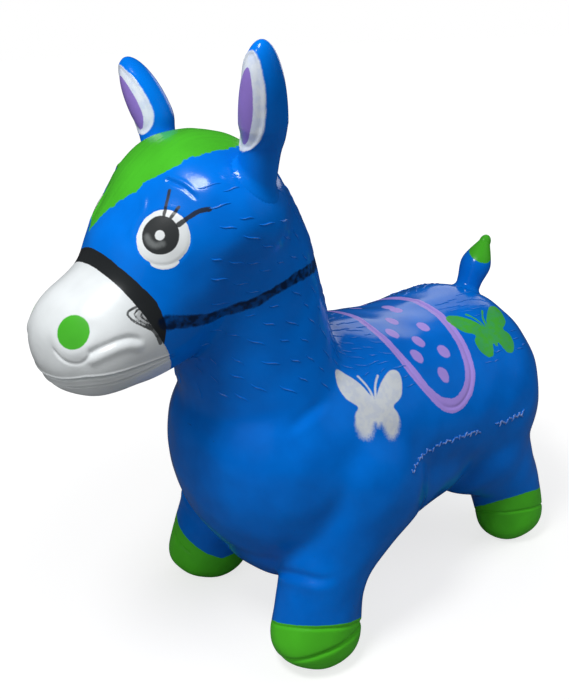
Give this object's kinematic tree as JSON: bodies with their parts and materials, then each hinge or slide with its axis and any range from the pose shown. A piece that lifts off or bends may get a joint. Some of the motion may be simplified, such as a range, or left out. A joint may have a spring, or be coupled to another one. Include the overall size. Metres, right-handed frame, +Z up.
{
  "type": "bouncy ride-on horse",
  "caption": "Inflatable ride-on hopper shaped as a small blue horse with ear grips, short springy legs, hooves, a tail and a belly air valve with a pull-out plug.",
  "frame": {"origin": "centre of the toy's bounding box at the floor, under the belly", "axes": "+X forward towards the muzzle, +Y to the horse's left, +Z up"},
  "size_m": [0.551, 0.2703, 0.5593],
  "materials": {
    "blue_pvc": "glossy rotationally moulded soft PVC, blue",
    "green_paint": "green sprayed paint on soft PVC, satin",
    "white_paint": "white sprayed paint on soft PVC, satin",
    "valve_plastic": "white moulded plastic"
  },
  "bodies": {
    "body": {"trunk": "blue_pvc", "neck": "blue_pvc", "head": "blue_pvc", "muzzle": "white_paint", "front_left_leg": "blue_pvc", "front_right_leg": "blue_pvc", "rear_left_leg": "blue_pvc", "rear_right_leg": "blue_pvc", "left_ear_root": "blue_pvc", "right_ear_root": "blue_pvc", "tail_root": "blue_pvc", "valve_seat": "valve_plastic"},
    "front_left_foot": {"front_left_hoof": "green_paint"},
    "front_right_foot": {"front_right_hoof": "green_paint"},
    "rear_left_foot": {"rear_left_hoof": "green_paint"},
    "rear_right_foot": {"rear_right_hoof": "green_paint"},
    "left_ear_flap": {"left_ear": "blue_pvc"},
    "right_ear_flap": {"right_ear": "blue_pvc"},
    "tail_flap": {"tail": "blue_pvc"},
    "stopper": {"valve_plug": "valve_plastic"}
  },
  "joints": [
    {"name": "front_left_bounce", "type": "slide", "parent": "body", "child": "front_left_foot", "axis": [0, 0, 1], "range_m": [0, 0.025], "stiffness_N_per_m": 2000, "springref_m": -0.005, "deforming": ["front_left_leg"]},
    {"name": "front_right_bounce", "type": "slide", "parent": "body", "child": "front_right_foot", "axis": [0, 0, 1], "range_m": [0, 0.025], "stiffness_N_per_m": 2000, "springref_m": -0.005, "deforming": ["front_right_leg"]},
    {"name": "rear_left_bounce", "type": "slide", "parent": "body", "child": "rear_left_foot", "axis": [0, 0, 1], "range_m": [0, 0.025], "stiffness_N_per_m": 2000, "springref_m": -0.005, "deforming": ["rear_left_leg"]},
    {"name": "rear_right_bounce", "type": "slide", "parent": "body", "child": "rear_right_foot", "axis": [0, 0, 1], "range_m": [0, 0.025], "stiffness_N_per_m": 2000, "springref_m": -0.005, "deforming": ["rear_right_leg"]},
    {"name": "left_ear_bend", "type": "hinge", "parent": "body", "child": "left_ear_flap", "pos_m": [0.10838, 0.075, 0.479], "axis": [0, 1, 0], "range_deg": [-20, 20], "stiffness_Nm_per_rad": 0.6, "deforming": ["left_ear_root"]},
    {"name": "right_ear_bend", "type": "hinge", "parent": "body", "child": "right_ear_flap", "pos_m": [0.10838, -0.075, 0.479], "axis": [0, 1, 0], "range_deg": [-20, 20], "stiffness_Nm_per_rad": 0.6, "deforming": ["right_ear_root"]},
    {"name": "tail_bend", "type": "hinge", "parent": "body", "child": "tail_flap", "pos_m": [-0.23262, 0, 0.282], "axis": [0, 1, 0], "range_deg": [-25, 25], "stiffness_Nm_per_rad": 0.06, "deforming": ["tail_root"]},
    {"name": "valve_pull", "type": "slide", "parent": "body", "child": "stopper", "axis": [0, 0, -1], "range_m": [0, 0.018]}
  ]
}
